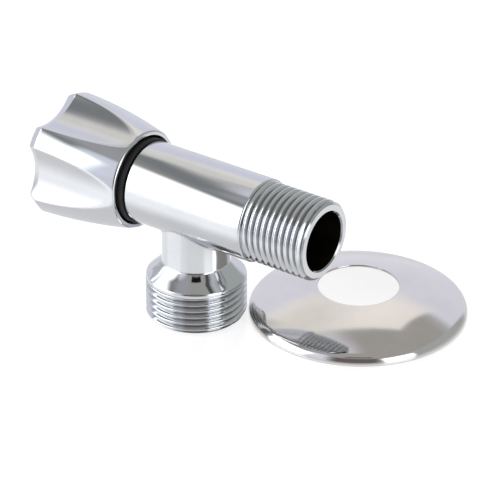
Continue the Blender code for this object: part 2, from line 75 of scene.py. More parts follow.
PITCH = 1.814 * MM
INLET_CREST = 10.478 * MM
INLET_LAND = 9.65 * MM                   # radius at the mouth, inside the chamfer
THREAD_START = 21.4 * MM
INLET_BORE = 7.75 * MM
THREAD_DEPTH = 0.640327 * PITCH          # Whitworth form, as on G threads
THREAD_ROUND = 0.137329 * PITCH
FLANK_TURN = math.radians(62.5)          # an arc of the thread form turns this far from crest to flank

SEAT_FACE = 7.5 * MM
SEAT_BACK = 9.5 * MM
SEAT_HOLE = 4.6 * MM
CHAMBER_RADIUS = 8.35 * MM
OUTLET_THREAD = 12.0 * MM
OUTLET_LANDS = (12.0 * MM, 12.6 * MM)    # radii at the thread's lower and upper end, inside the chamfers
OUTLET_BORE = 9.6 * MM
OUTLET_BORE_DEPTH = 9.0 * MM
NECK_RADIUS = 9.0 * MM
NECK_BOTTOM = 15.8 * MM
NECK_BORE = 5.75 * MM
NECK_FILLET = 1.0 * MM

LOBES = 5
LOBE_ANGLE = math.radians(37.6)
STEP_ANGLE = 2 * math.pi / LOBES
HANDLE_CORNER = -41.0 * MM
HANDLE_END = -43.8 * MM
HANDLE_BASE_RADIUS = 13.2 * MM
HANDLE_END_RADIUS = 16.9 * MM
HANDLE_BULGE = 2.70 * MM
FLUTE_BOTTOM = 13.2 * MM
FLUTE_RADIUS = 15.0 * MM
FLUTE_AXIS = FLUTE_BOTTOM + FLUTE_RADIUS
FLUTE_EDGE = 0.45 * MM                   # the lobes' edges are rounded over about this depth
SKIRT_BORE = 11.8 * MM
SHELL_BORE = 11.3 * MM
HUB_RADIUS = 8.8 * MM
HUB_FOOT = -24.0 * MM
HUB_BORE = 5.85 * MM
HOLLOW_END = -39.2 * MM
SOCKET_RADIUS = 7.25 * MM
SOCKET_END = -34.8 * MM
WEB_END = -36.8 * MM
WEB_HOLE = 2.6 * MM
CAP_RECESS = 7.0 * MM

FLANGE_HOLE = 10.7 * MM
FLANGE_UPRIGHT = 0.3 * MM                # the rim's straight height
FLANGE_BEND = 2.8 * MM                   # outer radius of the bend over it
FLANGE_SLOPE = math.radians(21)          # the dome's slope where it leaves the bend
FLANGE_SHEET = 0.6 * MM

# ---- camera -------------------------------------------------------------------------------------

CAMERA_AZIMUTH = 0.622
CAMERA_ELEVATION = 0.505
CAMERA_DISTANCE = 0.72946
CAMERA_ROLL = 0.005
CAMERA_LENS = 205.9
CAMERA_TARGET = Vector((AXIS.x + 17.124 * MM, AXIS.y, 23.589 * MM))


def make_camera():
    level = math.cos(CAMERA_ELEVATION)
    back = Vector(
        (
            math.sin(CAMERA_AZIMUTH) * level,
            -math.cos(CAMERA_AZIMUTH) * level,
            math.sin(CAMERA_ELEVATION),
        )
    )
    right = Vector((0, 0, 1)).cross(back).normalized()
    up = back.cross(right)
    tilted = right * math.cos(CAMERA_ROLL) + up * math.sin(CAMERA_ROLL)
    data = bpy.data.cameras.new("camera")
    data.lens = CAMERA_LENS
    data.sensor_width = 36
    data.clip_start = 0.01
    camera = bpy.data.objects.new("camera", data)
    rotation = Matrix((tilted, back.cross(tilted), back)).transposed().to_4x4()
    camera.matrix_world = Matrix.Translation(CAMERA_TARGET + back * CAMERA_DISTANCE) @ rotation
    bpy.context.scene.collection.objects.link(camera)
    bpy.context.scene.camera = camera


# ---- mesh helpers -------------------------------------------------------------------------------

ALONG_BARREL = Matrix.Translation(AXIS) @ Matrix.Rotation(math.pi / 2, 4, "Y")
UP_OUTLET = Matrix.Translation((AXIS.x, AXIS.y, 0))


def rounded(points, radii, steps=5):
    """The closed outline with its corners rounded. radii gives one radius per corner, 0 for a sharp one."""
    result = []
    count = len(points)
    for i, radius in enumerate(radii):
        corner = Vector(points[i])
        if radius == 0:
            result.append(tuple(corner))
            continue
        before = (Vector(points[i - 1]) - corner).normalized()
        after = (Vector(points[(i + 1) % count]) - corner).normalized()
        half = before.angle(after) / 2
        reach = radius / math.tan(half)
        centre = corner + (before + after).normalized() * radius / math.sin(half)
        first = corner + before * reach - centre
        last = corner + after * reach - centre
        whole = first.angle(last)
        for k in range(steps + 1):
            share = k / steps
            a = math.sin((1 - share) * whole) / math.sin(whole)
            b = math.sin(share * whole) / math.sin(whole)
            result.append(tuple(centre + first * a + last * b))
    return result


def grid_mesh(rows, columns, place, closed_rows, first_cap=False, last_cap=False):
    """Quads over rows by columns, closed round the columns. A cap closes the first or last row."""
    bm = bmesh.new()
    grid = [[bm.verts.new(place(i, j)) for j in range(columns)] for i in range(rows)]
    for i in range(rows if closed_rows else rows - 1):
        this, beyond = grid[i], grid[(i + 1) % rows]
        for j in range(columns):
            k = (j + 1) % columns
            bm.faces.new((this[j], this[k], beyond[k], beyond[j]))
    if first_cap:
        bm.faces.new(grid[0][::-1])
    if last_cap:
        bm.faces.new(grid[-1])
    return bm


def outward(bm):
    bmesh.ops.remove_doubles(bm, verts=bm.verts, dist=1e-7)
    bmesh.ops.dissolve_degenerate(bm, edges=bm.edges, dist=1e-8)
    bmesh.ops.recalc_face_normals(bm, faces=bm.faces)
    if bm.calc_volume(signed=True) < 0:
        bmesh.ops.reverse_faces(bm, faces=bm.faces)


def as_object(bm, name, placing, sharp=35):
    outward(bm)
    bm.transform(placing)
    mesh = bpy.data.meshes.new(name)
    bm.to_mesh(mesh)
    bm.free()
    mesh.shade_smooth()
    mesh.set_sharp_from_angle(angle=math.radians(sharp))
    obj = bpy.data.objects.new(name, mesh)
    bpy.context.scene.collection.objects.link(obj)
    return obj


def lathe(name, outline, placing=ALONG_BARREL, facets=128, sharp=35):
    """A turned solid from a closed outline of (radius, along) points."""
    angles = [2 * math.pi * j / facets for j in range(facets)]

    def place(i, j):
        radius, along = outline[i]
        return radius * math.cos(angles[j]), radius * math.sin(angles[j]), along

    bm = grid_mesh(len(outline), facets, place, closed_rows=True)
    bmesh.ops.remove_doubles(bm, verts=bm.verts, dist=1e-7)
    on_axis = [e for e in bm.edges if all(v.co.xy.length < 1e-7 for v in e.verts)]
    bmesh.ops.delete(bm, geom=on_axis, context="EDGES")
    return as_object(bm, name, placing, sharp)


def prism(name, outline, start, end, placing=ALONG_BARREL):
    """A solid with a flat outline, drawn out along local Z."""
    ends = (start, end)
    bm = grid_mesh(
        2, len(outline), lambda i, j: (*outline[j], ends[i]), False, first_cap=True, last_cap=True
    )
    return as_object(bm, name, placing)


def combine(target, others, operation):
    for other in others:
        modifier = target.modifiers.new(operation, "BOOLEAN")
        modifier.operation = operation
        modifier.solver = "MANIFOLD"
        modifier.object = other
    graph = bpy.context.evaluated_depsgraph_get()
    mesh = bpy.data.meshes.new_from_object(target.evaluated_get(graph))
    target.modifiers.clear()
    target.data = mesh
    for other in others:
        bpy.data.objects.remove(other)


def reshade(obj, sharp=35):
    obj.data.shade_smooth()
    obj.data.set_sharp_from_angle(angle=math.radians(sharp))


def dress(obj, material, body, slot, *nodes):
    """Gives a piece its material and its body, and hides the CAD nodes it stands for. slot is not used."""
    obj.data.materials.clear()
    obj.data.materials.append(material)
    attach(obj, body)
    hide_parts(*nodes)


# ---- valve body ---------------------------------------------------------------------------------


def thread_outline(crest):
    """One pitch of the thread as (radius, along) points, crest to crest, with rounded crest and root."""
    points = []
    for i in range(5):
        turn = FLANK_TURN * (i - 2) / 2
        fall = THREAD_ROUND * (1 - math.cos(turn))
        points.append((crest - fall, THREAD_ROUND * math.sin(turn)))
    for i in range(5):
        turn = FLANK_TURN * (i - 2) / 2
        rise = THREAD_ROUND * (1 - math.cos(turn))
        points.append((crest - THREAD_DEPTH + rise, PITCH / 2 + THREAD_ROUND * math.sin(turn)))
    return points


def thread_form(name, crest, start, end, lands, placing, facets=144):
    """A rod with a right-hand thread, cut off at both ends by 45 degree chamfers down to the two lands."""
    outline = thread_outline(crest)
    per_pitch = len(outline)
    rows = per_pitch * (math.ceil((end - start) / PITCH) + 3)

    def place(i, j):
        radius, along = outline[i % per_pitch]
        angle = 2 * math.pi * j / facets
        z = start + along + (i // per_pitch - 2 + j / facets) * PITCH
        return radius * math.cos(angle), radius * math.sin(angle), z

    bm = bmesh.new()
    grid = [[bm.verts.new(place(i, j)) for j in range(facets)] for i in range(rows)]
    for i in range(rows - per_pitch - 1):
        for j in range(facets):
            # Past the last column comes the first column of the row a whole pitch further along.
            step, k = (0, j + 1) if j + 1 < facets else (per_pitch, 0)
            bm.faces.new((grid[i][j], grid[i + step][k], grid[i + 1 + step][k], grid[i + 1][j]))
    bmesh.ops.delete(bm, geom=[v for v in bm.verts if not v.link_faces], context="VERTS")
    rims = [e for e in bm.edges if e.is_boundary]
    middle = (start + end) / 2
    for side in (-1, 1):
        rim = [e for e in rims if (e.verts[0].co.z - middle) * side > 0]
        hub = bm.verts.new((0, 0, middle + side * ((end - start) / 2 + 3 * PITCH)))
        for edge in rim:
            bm.faces.new((edge.verts[0], edge.verts[1], hub))
    rod = as_object(bm, name, placing)
    full = crest + 0.2 * MM
    envelope = lathe(
        name + "_envelope",
        [
            (0, start),
            (lands[0], start),
            (full, start + full - lands[0]),
            (full, end - full + lands[1]),
            (lands[1], end),
            (0, end),
        ],
        placing,
        facets,
    )
    combine(rod, [envelope], "INTERSECT")
    return rod


def neck_form():
    """Outlet neck: slightly hollow cone shoulder, plain neck and the fillet that runs it into the barrel."""
    facets = 192
    collar = OUTLET_CREST - 0.15 * MM
    foot = NECK_BOTTOM - (collar - NECK_RADIUS)
    midway = 1.65 * MM
    sag = 0.07 * MM
    corners = [
        (collar, OUTLET_THREAD - 1.2 * MM),
        (collar, foot),
        (NECK_RADIUS + midway - sag, NECK_BOTTOM - midway - sag),
        (NECK_RADIUS, NECK_BOTTOM),
        (NECK_RADIUS, NECK_BOTTOM + 4 * MM),
    ]
    radii = [0, 0, 0.8 * MM, 20 * MM, 0.9 * MM, 0]
    lower = rounded([(0, corners[0][1])] + corners, radii, 6)[1:]
    fillet_steps = 8

    def fillet(angle, share):
        """A ball that touches both cylinders rolls round the neck; this is its surface between them."""
        radius = NECK_FILLET
        x = (NECK_RADIUS + radius) * math.cos(angle)
        y = (NECK_RADIUS + radius) * math.sin(angle)
        z = -math.sqrt((BARREL_RADIUS + radius) ** 2 - y * y)
        centre = Vector((x, y, z))
        to_neck = Vector((-math.cos(angle), -math.sin(angle), 0))
        to_barrel = Vector((0, -y, -z)).normalized()
        direction = to_neck.slerp(to_barrel, share)
        return centre + direction * radius + Vector((0, 0, AXIS.z))

    inner = 2
    rows = len(lower) + fillet_steps + 1 + inner

    def place(i, j):
        angle = 2 * math.pi * j / facets
        if i < len(lower):
            radius, z = lower[i]
            return radius * math.cos(angle), radius * math.sin(angle), z
        i -= len(lower)
        if i <= fillet_steps:
            return fillet(angle, i / fillet_steps)
        edge = fillet(angle, 1.0)
        sunk = edge + Vector((0, -edge.y, AXIS.z - edge.z)).normalized() * 0.8 * MM
        if i == fillet_steps + 1:
            return sunk
        return 0.5 * sunk.x, 0.5 * sunk.y, AXIS.z

    bm = grid_mesh(rows, facets, place, False, first_cap=True, last_cap=True)
    return as_object(bm, "neck_form", UP_OUTLET)


def valve_body():
    step = 0.5 * MM
    barrel = lathe(
        "valve_body_fine",
        rounded(
            [
                (0, BARREL_END),
                (BARREL_RADIUS, BARREL_END),
                (BARREL_RADIUS, THREAD_START),
                (0, THREAD_START),
            ],
            [0, step, 0.45 * MM, 0],
        ),
        facets=256,
    )
    overlap = 0.6 * MM
    inlet = thread_form(
        "inlet_thread_form",
        INLET_CREST,
        THREAD_START - overlap,
        MOUTH,
        (INLET_CREST, INLET_LAND),
        ALONG_BARREL,
    )
    outlet = thread_form(
        "outlet_thread_form",
        OUTLET_CREST,
        0,
        OUTLET_THREAD,
        OUTLET_LANDS,
        UP_OUTLET,
        facets=168,
    )
    shallow = INLET_CREST - 0.35 * MM
    under_root = INLET_CREST - 1.2 * MM
    run_out = lathe(
        "thread_run_out",
        [
            (0, THREAD_START - overlap),
            (shallow, THREAD_START - overlap),
            (shallow, THREAD_START + 0.5 * MM),
            (under_root, THREAD_START + 1.6 * MM),
            (0, THREAD_START + 1.6 * MM),
        ],
    )
    beyond = 1 * MM
    bore_edge = 0.35 * MM
    bores = lathe(
        "barrel_bores",
        [
            (0, BARREL_END - beyond),
            (CHAMBER_RADIUS + bore_edge + beyond, BARREL_END - beyond),
            (CHAMBER_RADIUS, BARREL_END + bore_edge),
            (CHAMBER_RADIUS, SEAT_FACE),
            (SEAT_HOLE, SEAT_FACE),
            (SEAT_HOLE, SEAT_BACK),
            (INLET_BORE, SEAT_BACK),
            (INLET_BORE, MOUTH - bore_edge),
            (INLET_BORE + bore_edge + beyond, MOUTH + beyond),
            (0, MOUTH + beyond),
        ],
    )
    outlet_bores = lathe(
        "outlet_bores",
        [
            (0, -beyond),
            (OUTLET_BORE + bore_edge + beyond, -beyond),
            (OUTLET_BORE, bore_edge),
            (OUTLET_BORE, OUTLET_BORE_DEPTH),
            (NECK_BORE, OUTLET_BORE_DEPTH + OUTLET_BORE - NECK_BORE),
            (NECK_BORE, AXIS.z - 2 * MM),
            (0, AXIS.z - 2 * MM),
        ],
        UP_OUTLET,
    )
    combine(barrel, [inlet, outlet, run_out, neck_form()], "UNION")
    combine(barrel, [bores, outlet_bores], "DIFFERENCE")
    reshade(barrel, 38)
    dress(barrel, chrome, "valve", "chrome_plate", "valve_body")
    # Bore walls get brass painted near black for their shade, and thread faces get chrome with painted shade
    # in the roots.
    body_materials = [chrome, bare_brass_and_bore_shade, inlet_chrome_root_shade, outlet_chrome_root_shade]
    for metal in body_materials[1:]:
        barrel.data.materials.append(metal)
    for face in barrel.data.polygons:
        face.material_index = body_materials.index(body_material_at(face.center))


def body_material_at(point):
    """The body's material at a point of its surface: plain chrome, bare brass painted near black for the
    shade in the bores, or a thread's chrome with painted shade in its roots.
    """
    margin = 0.05 * MM
    if is_inside(point):
        return bare_brass_and_bore_shade
    if THREAD_START + 0.5 * MM < point.x - AXIS.x < MOUTH - margin:
        return inlet_chrome_root_shade
    if margin < point.z < OUTLET_THREAD:
        return outlet_chrome_root_shade
    return chrome


def is_inside(point):
    """Whether a point of the body's surface is on a bore's wall, where the plating doesn't reach and the
    brass is painted near black for the shade inside the bore.
    """
    along = point.x - AXIS.x
    from_barrel = math.hypot(point.y - AXIS.y, point.z - AXIS.z)
    from_outlet = math.hypot(point.x - AXIS.x, point.y - AXIS.y)
    margin = 0.05 * MM
    if from_barrel < CHAMBER_RADIUS + margin and along < SEAT_BACK + margin:
        return True
    if from_barrel < INLET_BORE + margin and along > SEAT_BACK:
        return True
    way = OUTLET_BORE if point.z < OUTLET_BORE_DEPTH + margin else NECK_BORE
    return from_outlet < way + margin and margin < point.z < AXIS.z


# ---- handle -------------------------------------------------------------------------------------


def soft_min(a, b, reach):
    overlap = max(reach - abs(a - b), 0) / reach
    return min(a, b) - overlap * overlap * reach / 4


def flute_radius(angle):
    """Distance from the axis to the nearest flute, or None where the ray at this angle misses it."""
    centre = -math.pi / 2 - LOBE_ANGLE - STEP_ANGLE / 2
    turn = (angle - centre + STEP_ANGLE / 2) % STEP_ANGLE - STEP_ANGLE / 2
    aside = FLUTE_AXIS * math.sin(turn)
    if abs(aside) >= FLUTE_RADIUS:
        return None
    return FLUTE_AXIS * math.cos(turn) - math.sqrt(FLUTE_RADIUS**2 - aside**2)


def crown_radius(along):
    share = (HANDLE_BASE - along) / (HANDLE_BASE - HANDLE_CORNER)
    straight = HANDLE_BASE_RADIUS + share * (HANDLE_END_RADIUS - HANDLE_BASE_RADIUS)
    return straight + HANDLE_BULGE * share * (1 - share)


def outer_radius(angle, along):
    crown = crown_radius(along)
    flute = flute_radius(angle)
    if flute is None:
        return crown
    return soft_min(crown, flute, FLUTE_EDGE)


def end_line():
    """Points (drop, back) over the bevelled edge between the crowns and the end face."""
    bends = ((0.3, 20), (1.9, 30), (1.0, 90))     # arc length, and the tilt in degrees at its end
    points = [(0.0, 0.0)]
    tilt = 0
    for length, last in bends:
        for k in range(6):
            way = math.radians(tilt + (last - tilt) * (k + 0.5) / 6)
            drop, back = points[-1]
            points.append((drop + length / 6 * math.sin(way), back + length / 6 * math.cos(way)))
        tilt = last
    scale = (HANDLE_CORNER - HANDLE_END) / points[-1][1]
    return [(drop * scale, back * scale) for drop, back in points]


def handle():
    facets = 720
    rim = 0.45 * MM
    stations = []
    for i in range(7):
        turn = math.pi / 2 * i / 6
        stations.append(("rim", rim * (1 - math.sin(turn)), HANDLE_BASE - rim * (1 - math.cos(turn))))
    side_steps = 56
    for i in range(1, side_steps + 1):
        share = i / side_steps
        stations.append(("side", 0, HANDLE_BASE - rim + (HANDLE_CORNER - HANDLE_BASE + rim) * share))
    bevel = end_line()
    for drop, back in bevel[1:]:
        stations.append(("end", drop, HANDLE_CORNER - back))
    face_steps = 10
    for i in range(1, face_steps + 1):
        stations.append(("face", i / face_steps, 0))

    def place(i, j):
        angle = 2 * math.pi * j / facets
        kind, value, along = stations[i]
        if kind == "face":
            edge = outer_radius(angle, HANDLE_CORNER) - bevel[-1][0]
            inner = CAP_RECESS - 1 * MM
            radius = edge + (inner - edge) * value
            along = HANDLE_END + (CROWN_CENTRE - HANDLE_END) * math.sin(value * math.pi / 2)
        elif kind == "end":
            radius = outer_radius(angle, HANDLE_CORNER) - value
        else:
            radius = outer_radius(angle, along) - value
        return radius * math.cos(angle), radius * math.sin(angle), along

    bm = grid_mesh(len(stations), facets, place, False, first_cap=True, last_cap=True)
    knob = as_object(bm, "handle_fine", ALONG_BARREL)
    edge = 0.3 * MM
    beyond = 1 * MM
    hollow = lathe(
        "handle_hollow",
        [
            (0, HANDLE_BASE + beyond),
            (SKIRT_BORE + edge + beyond, HANDLE_BASE + beyond),
            (SKIRT_BORE, HANDLE_BASE - edge),
            (SKIRT_BORE, HUB_FOOT + 0.5 * MM),
            (SHELL_BORE, HUB_FOOT),
            (SHELL_BORE, HOLLOW_END),
            (HUB_RADIUS, HOLLOW_END),
            (HUB_RADIUS, HUB_FOOT),
            (HUB_BORE, HUB_FOOT),
            (HUB_BORE, SOCKET_END + 0.5 * MM),
            (WEB_HOLE, SOCKET_END + 0.5 * MM),
            (WEB_HOLE, WEB_END - beyond),
            (0, WEB_END - beyond),
        ],
    )
    recess = lathe(
        "handle_recess",
        [
            (0, WEB_END),
            (CAP_RECESS, WEB_END),
            (CAP_RECESS, CROWN_CENTRE + edge),
            (CAP_RECESS + edge + beyond, CROWN_CENTRE - beyond),
            (0, CROWN_CENTRE - beyond),
        ],
    )
    hexagon = [
        (SOCKET_RADIUS * math.cos(math.pi * k / 3), SOCKET_RADIUS * math.sin(math.pi * k / 3))
        for k in range(6)
    ]
    socket = prism("handle_socket", hexagon, SOCKET_END, HUB_FOOT + beyond)
    combine(knob, [hollow, recess, socket], "DIFFERENCE")
    reshade(knob, 38)
    dress(knob, chrome, "turning_group", "chrome_plate", "handle")


def cap_and_index():
    radius = cap_high.y - AXIS.y
    top = cap_low.x - AXIS.x
    foot = cap_high.x - AXIS.x
    index_radius = index_high.y - AXIS.y
    seat_radius = index_radius + 0.25 * MM
    seat = index_high.x - AXIS.x + 0.3 * MM
    skirt = radius - 1.1 * MM
    roof = top + 2.6 * MM
    crown_steps = 6
    crown = []
    for i in range(crown_steps + 1):
        share = i / crown_steps
        crown.append((seat_radius + (radius - 3.05 * MM) * share, top + 0.45 * MM * share**2))
    outline = [
        (0, seat),
        (seat_radius, seat),
        *crown,
        (radius, top + 0.9 * MM),
        (radius, foot),
        (skirt, foot),
        (skirt, roof),
        (0, roof),
    ]
    radii = [0] * len(outline)
    radii[1 + len(crown) + 1] = 0.35 * MM
    cap = lathe("handle_cap_fine", rounded(outline, radii), facets=144)
    dress(cap, chrome, "turning_group", "chrome_plate", "handle_cap")
    index = lathe(
        "index_disc_fine",
        rounded(
            [
                (0, index_high.x - AXIS.x),
                (index_radius, index_high.x - AXIS.x),
                (index_radius, top + 0.15 * MM),
                (0, top + 0.02 * MM),
            ],
            [0, 0, 0.18 * MM, 0],
        ),
        facets=96,
    )
    dress(index, blue_plastic, "turning_group", "blue_index", "index_disc")


def skirt_ring():
    outer = ring_high.y - AXIS.y
    near = ring_high.x - AXIS.x
    far = ring_low.x - AXIS.x
    bore = 9.3 * MM
    edge = 0.45 * MM
    ring = lathe(
        "skirt_ring_fine",
        rounded([(bore, near), (outer, near), (outer, far), (bore, far)], [0.2 * MM, edge, edge, 0.2 * MM]),
        facets=160,
    )
    dress(ring, rubber, "valve", "black_rubber", "skirt_ring")


# ---- wall flange --------------------------------------------------------------------------------


def flange_line():
    """The sheet's upper face from the floor to the hole: upright edge, tight bend, then a shallow dome."""
    outer = (flange_high.x - flange_low.x) / 2
    bend_centre = Vector((outer - FLANGE_BEND, FLANGE_UPRIGHT))
    points = [(outer, 0.0)]
    bend_steps, dome_steps = 14, 28
    for i in range(bend_steps):
        turn = (math.pi / 2 - FLANGE_SLOPE) * i / bend_steps
        points.append(tuple(bend_centre + Vector((math.cos(turn), math.sin(turn))) * FLANGE_BEND))
    start = bend_centre + Vector((math.sin(FLANGE_SLOPE), math.cos(FLANGE_SLOPE))) * FLANGE_BEND
    span = start.x - FLANGE_HOLE
    first = math.tan(FLANGE_SLOPE)
    last = 2 * (flange_high.z - start.y) / span - first
    for i in range(dome_steps + 1):
        way = span * i / dome_steps
        points.append((start.x - way, start.y + first * way + (last - first) * way * way / (2 * span)))
    return points


def offset_line(points, distance):
    """The line moved to its inner side by the sheet's thickness."""
    moved = []
    for i, point in enumerate(points):
        before = Vector(points[max(i - 1, 0)])
        after = Vector(points[min(i + 1, len(points) - 1)])
        way = (after - before).normalized()
        moved.append((point[0] - way.y * distance, point[1] + way.x * distance))
    return moved


def wall_flange():
    upper = flange_line()
    lower = offset_line(upper, FLANGE_SHEET)
    lower[0] = (lower[0][0], 0.0)
    outline = upper + lower[::-1]
    radii = [0] * len(outline)
    for corner in (0, len(upper) - 1, len(upper), len(outline) - 1):
        radii[corner] = 0.16 * MM
    centre = (flange_low + flange_high) / 2
    placing = Matrix.Translation((centre.x, centre.y, 0))
    flange = lathe("wall_flange_fine", rounded(outline, radii, 3), placing, facets=256)
    dress(flange, stainless, "flange", "polished_stainless", "wall_flange")


# ---- materials ----------------------------------------------------------------------------------


class Nodes:
    """The node tree of a material, the world or a lamp, with short calls to add and link nodes."""

    def __init__(self, owner, shader="Principled BSDF", place="Object"):
        owner.use_nodes = True
        self.tree = owner.node_tree
        self.shader = self.tree.nodes[shader]
        self.place = self.add("ShaderNodeTexCoord").outputs[place]

    def add(self, kind, inputs=None, **settings):
        node = self.tree.nodes.new(kind)
        for name, value in settings.items():
            setattr(node, name, value)
        for name, value in (inputs or {}).items():
            if isinstance(value, bpy.types.NodeSocket):
                self.tree.links.new(value, node.inputs[name])
            else:
                node.inputs[name].default_value = value
        return node

    def feed(self, name, value):
        if isinstance(value, bpy.types.NodeSocket):
            self.tree.links.new(value, self.shader.inputs[name])
        else:
            self.shader.inputs[name].default_value = value

    def scaled(self, scale):
        return self.add("ShaderNodeMapping", {"Vector": self.place, "Scale": scale}).outputs[0]

    def noise(self, scale, detail=3.0, roughness=0.5, vector=None):
        inputs = {
            "Vector": vector or self.place,
            "Scale": scale,
            "Detail": detail,
            "Roughness": roughness,
        }
        return self.add("ShaderNodeTexNoise", inputs).outputs["Fac"]

    def ramp(self, value, *stops):
        node = self.add("ShaderNodeValToRGB", {"Fac": value})
        elements = node.color_ramp.elements
        for _ in range(len(stops) - 2):
            elements.new(0.5)
        for element, (position, colour) in zip(elements, stops):
            element.position = position
            element.color = (*colour, 1.0) if isinstance(colour, tuple) else (colour,) * 3 + (1.0,)
        return node.outputs["Color"]

    def span(self, value, low, high, from_low=0.0, from_high=1.0):
        inputs = {
            "Value": value,
            "From Min": from_low,
            "From Max": from_high,
            "To Min": low,
            "To Max": high,
        }
        return self.add("ShaderNodeMapRange", inputs).outputs[0]

    def math(self, operation, first, second=0.0):
        return self.add("ShaderNodeMath", {0: first, 1: second}, operation=operation).outputs[0]

    def smooth(self, value, low, high):
        """0 up to low, 1 from high on, and a smooth rise between them. low may be above high."""
        inputs = {"Value": value, "From Min": low, "From Max": high}
        return self.add("ShaderNodeMapRange", inputs, interpolation_type="SMOOTHSTEP").outputs[0]

    def vector_math(self, operation, first, second):
        return self.add("ShaderNodeVectorMath", {0: first, 1: second}, operation=operation).outputs

    def dot(self, first, second):
        return self.vector_math("DOT_PRODUCT", first, second)["Value"]

    def mix(self, first, second, share):
        node = self.add("ShaderNodeMix", data_type="RGBA")
        for socket, value in ((node.inputs[0], share), (node.inputs[6], first), (node.inputs[7], second)):
            if isinstance(value, bpy.types.NodeSocket):
                self.tree.links.new(value, socket)
            else:
                socket.default_value = value
        return node.outputs[2]

    def bump(self, height, strength, distance, normal=None):
        inputs = {"Height": height, "Strength": strength, "Distance": distance}
        if normal is not None:
            inputs["Normal"] = normal
        return self.add("ShaderNodeBump", inputs).outputs[0]


def scratches(nodes, scale, stretch, width):
    """Fine hairlines: a thin contour of a noise that is drawn out along one direction."""
    field = nodes.noise(scale, 1.0, 0.4, nodes.scaled(stretch))
    return nodes.ramp(field, (0.5 - width, 0.0), (0.5, 1.0), (0.5 + width, 0.0))


CHROME = ((0.63, 0.645, 0.66), (0.59, 0.605, 0.625), (0.03, 0.07), 0.10)
# Painted shade: thread roots are darkened towards this colour, for the shade that falls in them.
THREAD_ROOT_PAINTED_SHADE = (0.34, 0.35, 0.36)


def thread_root_shade_mask(nodes, across, crest):
    """How much of the painted shade a thread's root gets: 0 near its crest, 1 at its root. across has a 1
    for each direction square to its axis.
    """
    spot = nodes.vector_math("MULTIPLY", nodes.place, across)["Vector"]
    middle = tuple(a * b for a, b in zip(AXIS, across))
    radius = nodes.vector_math("DISTANCE", spot, middle)["Value"]
    return nodes.smooth(radius, crest - 0.3 * MM, crest - THREAD_DEPTH)


def polished_metal(name, colour, shade, roughness, ripple, thread=None):
    """Mirror-bright metal: slight ripple from polishing, hairline scratches and a little haze.

    thread is the across and crest of the thread-root mask, for a thread with painted shade that darkens it
    towards its root.
    """
    material = bpy.data.materials.new(name)
    nodes = Nodes(material)
    haze = nodes.noise(90.0, 4.0, 0.6)
    hairs = nodes.math(
        "ADD",
        scratches(nodes, 140.0, (1.0, 6.0, 3.0), 0.004),
        scratches(nodes, 170.0, (5.0, 1.0, 4.0), 0.003),
    )
    tint = nodes.ramp(haze, (0.3, shade), (0.7, colour))
    if thread:
        # Painted shade: darkens the thread towards its root.
        tint = nodes.mix(tint, (*THREAD_ROOT_PAINTED_SHADE, 1.0), thread_root_shade_mask(nodes, *thread))
    nodes.feed("Base Color", tint)
    nodes.feed("Metallic", 1.0)
    smear = nodes.span(haze, roughness[0], roughness[1], 0.3, 0.7)
    nodes.feed("Roughness", nodes.math("ADD", smear, nodes.span(hairs, 0, 0.04)))
    wave = nodes.bump(nodes.noise(260.0, 2.0), ripple, 0.00002)
    nodes.feed("Normal", nodes.bump(hairs, 0.05, 0.000004, wave))
    return material


def turned_metal(name, colour, shade, roughness):
    """Machined metal: fine rings round the turning axis, uneven tarnish and dull spots."""
    material = bpy.data.materials.new(name)
    nodes = Nodes(material)
    rings = nodes.add(
        "ShaderNodeTexWave",
        {"Vector": nodes.place, "Scale": 900.0, "Distortion": 0.6, "Detail": 2.0},
        bands_direction="X",
    ).outputs["Fac"]
    blotch = nodes.noise(160.0, 5.0, 0.6)
    nodes.feed("Base Color", nodes.ramp(blotch, (0.32, shade), (0.62, colour)))
    nodes.feed("Metallic", 1.0)
    nodes.feed("Roughness", nodes.span(blotch, roughness[0], roughness[1], 0.3, 0.7))
    nodes.feed("Normal", nodes.bump(rings, 0.25, 0.00001))
    return material


def moulded(name, colour, shade, roughness, grain, strength):
    """Moulded rubber, plastic or fired ceramic: fine skin texture over a faint cloudiness."""
    material = bpy.data.materials.new(name)
    nodes = Nodes(material)
    cloud = nodes.noise(120.0, 4.0, 0.55)
    skin = nodes.noise(grain, 3.0, 0.6)
    nodes.feed("Base Color", nodes.ramp(cloud, (0.3, shade), (0.7, colour)))
    nodes.feed("Roughness", nodes.span(skin, roughness[0], roughness[1], 0.3, 0.7))
    nodes.feed("Normal", nodes.bump(skin, strength, 0.00002))
    return material


chrome = polished_metal("chrome_plate", *CHROME)
# Chrome for the two threads, with painted shade darkening their roots.
inlet_chrome_root_shade = polished_metal("chrome_inlet_thread_root_shade", *CHROME, thread=((0, 1, 1), INLET_CREST))
outlet_chrome_root_shade = polished_metal("chrome_outlet_thread_root_shade", *CHROME, thread=((1, 1, 0), OUTLET_CREST))
stainless = polished_metal(
    "polished_stainless", (0.70, 0.685, 0.68), (0.65, 0.635, 0.63), (0.05, 0.09), 0.12
)
